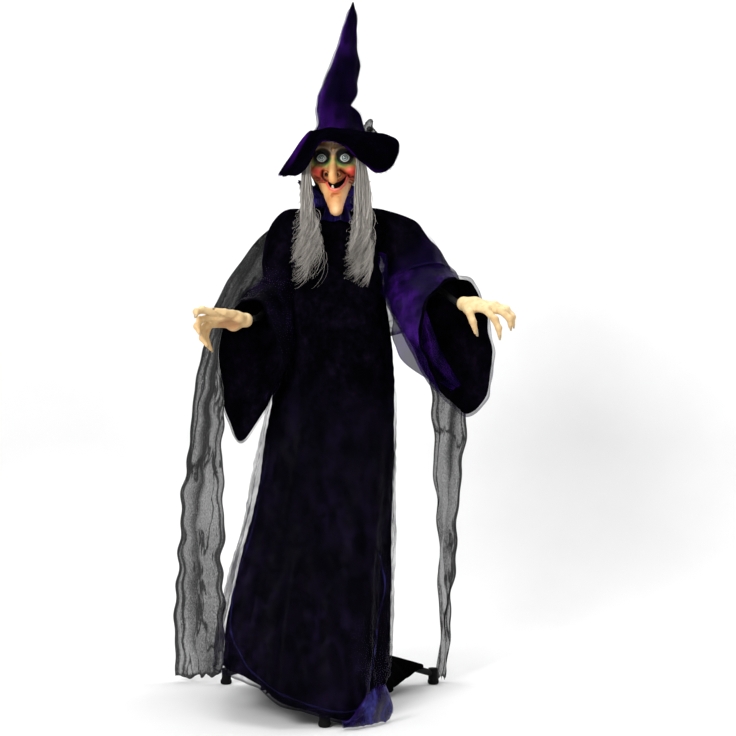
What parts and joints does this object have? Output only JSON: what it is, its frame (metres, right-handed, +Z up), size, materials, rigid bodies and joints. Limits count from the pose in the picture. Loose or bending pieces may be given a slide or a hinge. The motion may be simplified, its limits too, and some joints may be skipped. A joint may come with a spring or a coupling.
{
  "type": "animated witch figure",
  "caption": "Life-size standing witch figure in hat, robe and gauze cape on a tripod pole; torso, head, jaw, arms and hands move.",
  "frame": {"origin": "on the floor, at the middle of the pole's foot", "axes": "+Z up along the pole; the figure faces -Y; +X is towards the figure's own left hand"},
  "size_m": [0.8975, 0.5794, 1.83],
  "materials": {
    "rubber": "moulded black rubber",
    "black_plastic": "matt black moulded plastic",
    "black_steel": "black powder coat",
    "leg_tube": "black coated",
    "black_aluminium": "black coated",
    "zinc_steel": "zinc coloured housing",
    "battery": "sleeved cells",
    "white_nylon": "natural moulded nylon",
    "velvet": "dark crushed velvet",
    "black_cloth": "plain woven",
    "gauze": "loose open gauze",
    "satin": "satin weave with a sheen",
    "latex_skin": "painted latex",
    "hand_latex": "pale painted latex",
    "eye_acrylic": "glossy",
    "hair": "grey synthetic hair",
    "tooth": "ivory",
    "red_plastic": "red"
  },
  "bodies": {
    "stand": {"pole_foot": "rubber", "tripod_hub": "black_plastic", "lower_pole": "black_steel", "upper_pole": "black_steel", "pole_collar": "black_plastic", "collar_knob": "black_plastic", "leg_front": "leg_tube", "leg_left": "leg_tube", "leg_right": "leg_tube", "foot_front": "rubber", "foot_left": "rubber", "foot_right": "rubber", "waist_gear": "white_nylon", "robe_skirt": "velvet", "underskirt": "black_cloth", "cape_tail_left": "gauze", "cape_tail_right": "gauze"},
    "torso": {"turntable": "black_steel", "shoulder_frame": "black_steel", "shoulder_bolt_left": "zinc_steel", "shoulder_bolt_right": "zinc_steel", "neck_tube": "black_steel", "neck_motor": "zinc_steel", "waist_motor": "zinc_steel", "control_box": "black_plastic", "box_lid": "black_plastic", "speaker": "black_plastic", "battery_pack": "battery", "harness": "black_cloth", "robe_bodice": "velvet", "collar": "satin", "cape": "gauze"},
    "waist_pinion": {"waist_pinion": "white_nylon"},
    "neck_pinion": {"neck_pinion": "white_nylon"},
    "head": {"neck_gear": "white_nylon", "head_frame": "black_steel", "skull_shell": "black_plastic", "face_mask": "latex_skin", "eye_left": "eye_acrylic", "eye_right": "eye_acrylic", "hat_crown": "velvet", "hat_brim": "velvet", "hat_bow": "gauze", "hair_left": "hair", "hair_right": "hair", "hair_back": "hair", "jaw_motor": "zinc_steel", "jaw_pin": "zinc_steel"},
    "jaw": {"jaw_shell": "latex_skin", "jaw_yoke": "black_aluminium", "tooth": "tooth"},
    "jaw_pinion": {"jaw_pinion": "white_nylon"},
    "arm_left": {"arm_tube_left": "black_aluminium", "sleeve_left": "velvet"},
    "arm_right": {"arm_tube_right": "black_aluminium", "sleeve_right": "velvet"},
    "hand_left": {"hand_left": "hand_latex"},
    "hand_right": {"hand_right": "hand_latex"},
    "test_button": {"test_button": "red_plastic"},
    "power_switch": {"power_switch": "black_plastic"}
  },
  "joints": [
    {"name": "waist_twist", "type": "hinge", "parent": "stand", "child": "torso", "pos_m": [0, 0, 0.88], "axis": [0, 0, 1], "range_deg": [-20, 20]},
    {"name": "waist_pinion_spin", "type": "hinge", "parent": "torso", "child": "waist_pinion", "pos_m": [0, 0.0494, 0.866], "axis": [0, 0, 1], "range_deg": [-80, 80]},
    {"name": "head_turn", "type": "hinge", "parent": "torso", "child": "head", "pos_m": [0, 0, 1.3], "axis": [0, 0, 1], "range_deg": [-25, 25]},
    {"name": "neck_pinion_spin", "type": "hinge", "parent": "torso", "child": "neck_pinion", "pos_m": [0, 0.0288, 1.298], "axis": [0, 0, 1], "range_deg": [-80, 80]},
    {"name": "jaw_open", "type": "hinge", "parent": "head", "child": "jaw", "pos_m": [0.012, -0.01, 1.375], "axis": [1, 0, 0], "range_deg": [0, 6]},
    {"name": "jaw_pinion_spin", "type": "hinge", "parent": "head", "child": "jaw_pinion", "pos_m": [0.028, 0.011, 1.375], "axis": [1, 0, 0], "range_deg": [-20, 5]},
    {"name": "arm_lift_left", "type": "hinge", "parent": "torso", "child": "arm_left", "pos_m": [-0.135, 0, 1.215], "axis": [0, 1, 0], "range_deg": [0, 30]},
    {"name": "arm_lift_right", "type": "hinge", "parent": "torso", "child": "arm_right", "pos_m": [0.172, 0, 1.215], "axis": [0, -1, 0], "range_deg": [0, 30]},
    {"name": "hand_twist_left", "type": "hinge", "parent": "arm_left", "child": "hand_left", "pos_m": [-0.207, -0.128, 0.988], "axis": [-0.848, -0.5048, -0.1615], "range_deg": [-25, 25]},
    {"name": "hand_twist_right", "type": "hinge", "parent": "arm_right", "child": "hand_right", "pos_m": [0.35, -0.12, 1.03], "axis": [0.8638, -0.462, -0.2009], "range_deg": [-25, 25]},
    {"name": "button_press", "type": "slide", "parent": "torso", "child": "test_button", "axis": [0, -1, 0], "range_m": [0, 0.002], "stiffness_N_per_m": 300},
    {"name": "switch_slide", "type": "slide", "parent": "torso", "child": "power_switch", "axis": [1, 0, 0], "range_m": [0, 0.0075]}
  ],
  "couplings": [
    {"joint": "waist_pinion_spin", "follows": "waist_twist", "ratio": 3.75},
    {"joint": "neck_pinion_spin", "follows": "head_turn", "ratio": -3},
    {"joint": "jaw_pinion_spin", "follows": "jaw_open", "ratio": -2.5}
  ]
}
